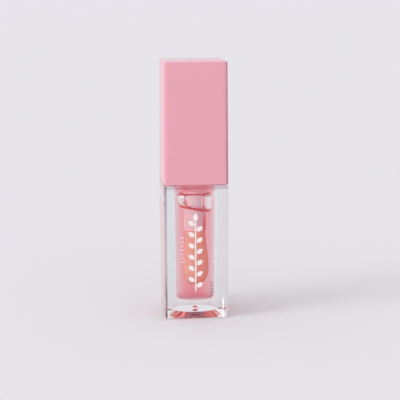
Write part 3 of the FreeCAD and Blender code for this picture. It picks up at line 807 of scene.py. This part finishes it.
# ------------------------------------------------------------- turned pieces
def turned(name, profile, mats, body, nodes, n=128, round_by=0.0, closed=True):
    """A lathe piece from a closed run of (r, z) points, each corner eased."""
    pts = [np.array(p[:2], float) for p in profile]
    ease = [p[2] if len(p) > 2 else round_by for p in profile]
    segs_, count = [], len(pts)
    corners = []
    for i in range(count):
        a, p, c = pts[i - 1], pts[i], pts[(i + 1) % count]
        u, w = p - a, c - p
        lu, lw = np.linalg.norm(u), np.linalg.norm(w)
        u, w = u / lu, w / lw
        turn = math.atan2(u[0] * w[1] - u[1] * w[0], float(np.dot(u, w)))
        e = min(ease[i], 0.45 * min(lu, lw) / max(abs(math.tan(turn / 2)), 1e-6)) if abs(turn) > 0.02 else 0.0
        if e <= 1e-4:
            corners.append((p, p, None))
            continue
        d = e * abs(math.tan(turn / 2))
        s, t = p - u * d, p + w * d
        n_in = np.array([u[1], -u[0]])
        centre = s - n_in * e if turn > 0 else s + n_in * e
        steps = max(2, int(abs(turn) / math.radians(15)))
        arc = []
        for f in np.linspace(0, 1, steps + 1):
            th = turn * f
            rot = np.array([[math.cos(th), -math.sin(th)], [math.sin(th), math.cos(th)]])
            nn = rot @ n_in
            q_ = centre + nn * e if turn > 0 else centre - nn * e
            arc.append(("ci", q_[0], q_[1], nn[0], nn[1], None))
        corners.append((s, t, arc))
    for i in range(count):
        if corners[i][2]:
            segs_.append((corners[i][2], 0))
        a, b_ = corners[i][1], corners[(i + 1) % count][0]
        if np.linalg.norm(b_ - a) > 1e-4:
            segs_.append((line_pts("ci", tuple(a), tuple(b_), 1), 0))
    ob = build(name, Even(n), segs_, closed=True)
    return dress(ob, mats, body, nodes)


turned("wiper_insert", [
    (5.5, 53.8), (5.5, LIP + 8.0), (5.4, LIP + 7.0), (4.04, LIP + 1.5), (3.69, LIP + 0.5), (3.69, LIP),
    (4.24, LIP), (4.59, LIP + 1.2), (6.22, 44.9), (6.6, 45.5), (6.6, 49.4), (6.72, 49.7), (6.72, 50.3),
    (6.66, 50.6), (6.66, 53.0), (7.3, 53.0), (7.3, 53.8)],
    [m_wiper], "bottle", ["wiper"], round_by=0.12)
turned("foam_washer", [(3.9, 53.81), (7.1, 53.81), (7.1, 54.79), (3.9, 54.79)],
       [m_foam], "lift", ["seal_washer"], round_by=0.12)
turned("applicator_rod", [
    (0.02, 19.0), (1.55, 19.0, 0.4), (1.55, 26.7), (ROD_R, 26.7, 0.25), (ROD_R, 62.0), (4.6, 62.0, 0.05),
    (4.6, 63.2, 0.45), (0.02, 63.2)],
    [m_rod], "rod", ["stem"])

# ------------------------------------------------------------------ over-cap
cap_slope = (CAP_TOP_HALF - CAP_HALF) / (TALL - CAP_LOW)


def cap_half(z):
    return CAP_HALF + cap_slope * (z - CAP_LOW)


CR, TR = 0.5, 0.45
roof_in = TALL - CAP_ROOF
inner = lambda z: cap_half(z) - CAP_WALL
cap_segs = [
    (line_pts(("ci", "sq"), (0.3, roof_in), (inner(roof_in) - 0.3, roof_in), 1, rc=(0.0, 0.1)), 0),
    (arc_pts("sq", inner(roof_in) - 0.3, roof_in - 0.3, 0.3, 90, 0, 4, rc=0.1, outward=False), 0),
    (line_pts("sq", (inner(roof_in - 0.3), roof_in - 0.3), (inner(CAP_LOW + 0.15), CAP_LOW + 0.15), 6, rc=0.4), 0),
    (arc_pts("sq", inner(CAP_LOW) + 0.15, CAP_LOW + 0.15, 0.15, 180, 270, 3, rc=0.55), 0),
    (line_pts("sq", (inner(CAP_LOW) + 0.15, CAP_LOW), (CAP_HALF - 0.2, CAP_LOW), 1, rc=(0.55, CR - 0.2)), 0),
    (arc_pts("sq", CAP_HALF - 0.2, CAP_LOW + 0.2, 0.2, -90, 0, 5, rc=CR - 0.2), 0),
    (line_pts("sq", (cap_half(CAP_LOW + 0.2), CAP_LOW + 0.2), (cap_half(TALL - TR), TALL - TR), 8, rc=CR), 0),
    (arc_pts("sq", cap_half(TALL) - TR, TALL - TR, TR, 0, 90, 9, rc=CR - TR), 0),
    (line_pts(("sq", "ci"), (cap_half(TALL) - TR, TALL), (0.3, TALL), 1, rc=(CR - TR, 0.0)), 0),
]
SOFT = Ring(flat=44)
SOFT.soft, SOFT.tilt = 1.3, math.radians(20)
cap = build("cap_shell", SOFT, cap_segs, pole_start="down", pole_end="up")
dress(cap, [m_cap], "cap", ["outer_cap"])

# -------------------------------------------------------------- inner collar
def collar_wall(phi, z):
    return 8.02 - ridge(phi, z, THREAD_Z - PITCH / 2, 0.44)


FOOT, FOOT_T, COL_R = 41.7, 1.0, 8.62
collar_segs = [
    (line_pts("ci", (COL_R, FOOT + FOOT_T), (COL_R, 55.8), 4), 0),
    (arc_pts("ci", COL_R - 0.4, 55.8, 0.4, 0, 90, 5), 0),
    (line_pts("ci", (COL_R - 0.4, 56.2), (5.0, 56.2), 1), 0),
    (line_pts("ci", (5.0, 56.2), (5.0, 61.7), 1), 0),
    (arc_pts("ci", 4.7, 61.7, 0.3, 0, 90, 4), 0),
    (line_pts("ci", (4.7, 62.0), (3.7, 62.0), 1), 0),
    (line_pts("ci", (3.7, 62.0), (3.7, 54.8), 1), 0),
    (line_pts("ci", (3.7, 54.8), (8.02, 54.8), 1), 0),
    ([("fn", 0, z, -1.0, 0.0, None, collar_wall) for z in np.linspace(54.8, FOOT + 0.15, 80)], 0),
    (line_pts("ci", (8.02, FOOT + 0.15), (8.17, FOOT), 1), 0),
    (line_pts(("ci", "sq"), (8.17, FOOT), (8.6, FOOT), 1, rc=(0.0, 0.05)), 0),
    (arc_pts("sq", 8.6, FOOT + 0.1, 0.1, -90, 0, 3, rc=0.05), 0),
    (line_pts("sq", (8.7, FOOT + 0.1), (8.7, FOOT + FOOT_T), 1, rc=0.15), 0),
    (line_pts(("sq", "ci"), (8.7, FOOT + FOOT_T), (COL_R, FOOT + FOOT_T), 1, rc=(0.15, 0.0)), 0),
]
wings = [box_part(0, 0, math.radians(45 + 90 * i), COL_R - 0.2, 11.2, 0.6, FOOT + 0.6, 52.0) for i in range(4)]
collar = build("threaded_collar", SQ, collar_segs, closed=True, extra=wings)
dress(collar, [m_collar], "cap", ["inner_cap"])

# ---------------------------------------------------------------- applicator
SECT = [(9.45, 0.9, 0.75), (9.6, 1.65, 1.35), (10.05, 2.6, 2.05), (10.9, 3.45, 2.7),
        (12.2, 4.05, 3.15), (14.0, 4.38, 3.4), (16.2, 4.4, 3.48), (18.8, 4.15, 3.5),
        (21.6, 3.8, 3.48), (24.4, 3.55, 3.45), (26.6, 3.45, 3.4)]
LEAN = [0.18, 0.18, 0.18, 0.18, 0.18, 0.18, 0.17, 0.15, 0.1, 0.05, 0.0]


def pad_mesh(na=180, nz=150):
    """Applicator skin: smooth through the sections, then roughened like wet flock."""
    zs = np.array([s[0] for s in SECT]); aa = np.array([s[1] for s in SECT]); bb = np.array([s[2] for s in SECT])
    t = np.concatenate([[0], np.cumsum(np.hypot(np.diff(zs), np.diff(aa)))])
    tt = np.linspace(0, t[-1], nz)

    def curve(y):
        # Catmull-Rom through the sections
        out = []
        for x in tt:
            i = min(max(np.searchsorted(t, x) - 1, 0), len(t) - 2)
            h = t[i + 1] - t[i]
            f = (x - t[i]) / h
            m0 = (y[i + 1] - y[i - 1]) / (t[i + 1] - t[i - 1]) if i > 0 else (y[1] - y[0]) / (t[1] - t[0])
            m1 = (y[i + 2] - y[i]) / (t[i + 2] - t[i]) if i < len(t) - 2 else (y[-1] - y[-2]) / (t[-1] - t[-2])
            out.append((2 * f ** 3 - 3 * f ** 2 + 1) * y[i] + (f ** 3 - 2 * f ** 2 + f) * h * m0
                       + (-2 * f ** 3 + 3 * f ** 2) * y[i + 1] + (f ** 3 - f ** 2) * h * m1)
        return np.array(out)

    z, a, b_, lean = curve(zs), curve(aa), curve(bb), curve(np.array(LEAN))
    ang = np.arange(na) * 2 * math.pi / na
    # band-limited roughness, periodic round the pad
    rough = np.zeros((nz, na))
    for _ in range(60):
        ka, kz = rng.integers(3, 34), rng.uniform(0.4, 7.0)
        rough += np.sin(ka * ang[None, :] + kz * z[:, None] * 1.7 + rng.uniform(0, 6.28)) / 60 ** 0.5
    grain = rng.normal(0, 1, (nz, na))
    fade = np.clip((z - z[0]) / 1.2, 0, 1)[:, None]
    disp = (0.028 * rough + 0.014 * grain) * (0.4 + 0.6 * fade) - 0.02
    verts = []
    for i in range(nz):
        for k in range(na):
            c, s = math.cos(ang[k]), math.sin(ang[k])
            verts.append((lean[i] + (a[i] + disp[i, k]) * c, (b_[i] + disp[i, k]) * s, z[i]))
    faces = []
    for i in range(nz - 1):
        for k in range(na):
            l = (k + 1) % na
            faces.append((i * na + k, i * na + l, (i + 1) * na + l, (i + 1) * na + k))
    lo = len(verts); verts.append((lean[0], 0, z[0] - 0.03))
    hi = len(verts); verts.append((0, 0, z[-1]))
    for k in range(na):
        l = (k + 1) % na
        faces.append((lo, l, k))
        faces.append((hi, (nz - 1) * na + k, (nz - 1) * na + l))
    return verts, faces


pv, pf = pad_mesh()
padob = smooth_object("flocked_applicator", pv, pf)
dress(padob, [m_flock], "cap", ["applicator_flock"])

paint("applicator_core", m_core)
paint("front_print", m_white)
paint("side_print", m_pale)
paint("small_print", m_dark)

# ------------------------------------------------------- studio: sweep, light
def sweep():
    """Pale seamless floor that curves up behind."""
    low = -0.06
    prof = [(-3000, low)]
    back, rad = 9000, 1500
    prof.append((back, low))
    for i in range(1, 25):
        a = math.pi / 2 * i / 24
        prof.append((back + rad * math.sin(a), low + rad - rad * math.cos(a)))
    prof.append((back + rad, 6000))
    verts, faces = [], []
    for y, z in prof:
        verts += [(-9000, y, z), (9000, y, z)]
    for i in range(len(prof) - 1):
        faces.append((2 * i, 2 * i + 1, 2 * i + 3, 2 * i + 2))
    ob = smooth_object("studio_sweep", verts, faces)
    return ob


m_floor, nt, b = new_material("studio_paper")
v = coords(nt)
nt.links.new(ramp(nt, noise(nt, v, 3.0, 2.0), [(0.3, (0.80, 0.79, 0.815, 1)), (0.7, (0.815, 0.805, 0.83, 1))]),
             b.inputs["Base Color"])
b.inputs["Roughness"].default_value = 0.9
floor = sweep()
floor.data.materials.append(m_floor)


def sun(name, az, el, power, width, colour=(1, 1, 1)):
    """A very wide, far source: soft shadow, even light over the whole floor."""
    light = bpy.data.lights.new(name, "SUN")
    light.energy = power
    light.color = colour
    light.angle = math.radians(width)
    ob = bpy.data.objects.new(name, light)
    a, e = math.radians(az), math.radians(el)
    towards = Vector((-math.sin(a) * math.cos(e), -math.cos(a) * math.cos(e), math.sin(e)))
    ob.rotation_euler = towards.to_track_quat("Z", "Y").to_euler()
    bpy.context.scene.collection.objects.link(ob)
    return ob


# az is counted from the front (0) to the left (90)
sun("key_left", 71, 31, 0.85, 30)

world = bpy.data.worlds.new("studio_world")
world.use_nodes = True
bpy.context.scene.world = world
wn = world.node_tree
bg = wn.nodes["Background"]
tc = wn.nodes.new("ShaderNodeTexCoord")
sep = wn.nodes.new("ShaderNodeSeparateXYZ")
wn.links.new(tc.outputs["Generated"], sep.inputs["Vector"])
# bright from the left and the front, dimmer towards the right
lr = wn.nodes.new("ShaderNodeMapRange")
lr.inputs["From Min"].default_value, lr.inputs["From Max"].default_value = -1.0, 1.0
lr.inputs["To Min"].default_value, lr.inputs["To Max"].default_value = 1.10, 0.60
wn.links.new(sep.outputs["X"], lr.inputs["Value"])
fb = wn.nodes.new("ShaderNodeMapRange")
fb.inputs["From Min"].default_value, fb.inputs["From Max"].default_value = -1.0, 0.8
fb.inputs["To Min"].default_value, fb.inputs["To Max"].default_value = 1.19, 0.88
wn.links.new(sep.outputs["Y"], fb.inputs["Value"])
mul = wn.nodes.new("ShaderNodeMath"); mul.operation = "MULTIPLY"
wn.links.new(lr.outputs["Result"], mul.inputs[0])
wn.links.new(fb.outputs["Result"], mul.inputs[1])
wn.links.new(mul.outputs[0], bg.inputs["Strength"])
bg.inputs["Color"].default_value = (0.965, 0.96, 0.982, 1)

# -------------------------------------------------------------------- camera
cam_data = bpy.data.cameras.new("camera")
cam = bpy.data.objects.new("camera", cam_data)
bpy.context.scene.collection.objects.link(cam)
AZ, PITCH_D, DIST, FPX, ROLL = -6.1, 9.9, 400.0, 1287.3, 0.2
aim = Vector((0, 0, 35.34))
look = Vector((-math.sin(math.radians(AZ)) * math.cos(math.radians(PITCH_D)),
               math.cos(math.radians(AZ)) * math.cos(math.radians(PITCH_D)),
               -math.sin(math.radians(PITCH_D))))
right = look.cross(Vector((0, 0, 1))).normalized()
# the tube stands a little left of the frame's middle
aim += right * ((200 - 193.35) / FPX * DIST)
cam.location = (aim - look * DIST) * MM
turn = look.to_track_quat("-Z", "Y")
turn.rotate(Quaternion(look, math.radians(ROLL)))
cam.rotation_euler = turn.to_euler()
cam_data.sensor_width = 36.0
cam_data.lens = FPX / 400.0 * 36.0
cam_data.clip_start = 0.01
cam_data.clip_end = 20
bpy.context.scene.camera = cam

sc = bpy.context.scene
sc.view_settings.view_transform = "Standard"
sc.cycles.max_bounces = 40
sc.cycles.transmission_bounces = 24
sc.cycles.glossy_bounces = 20
sc.cycles.diffuse_bounces = 6
sc.cycles.blur_glossy = 0.3
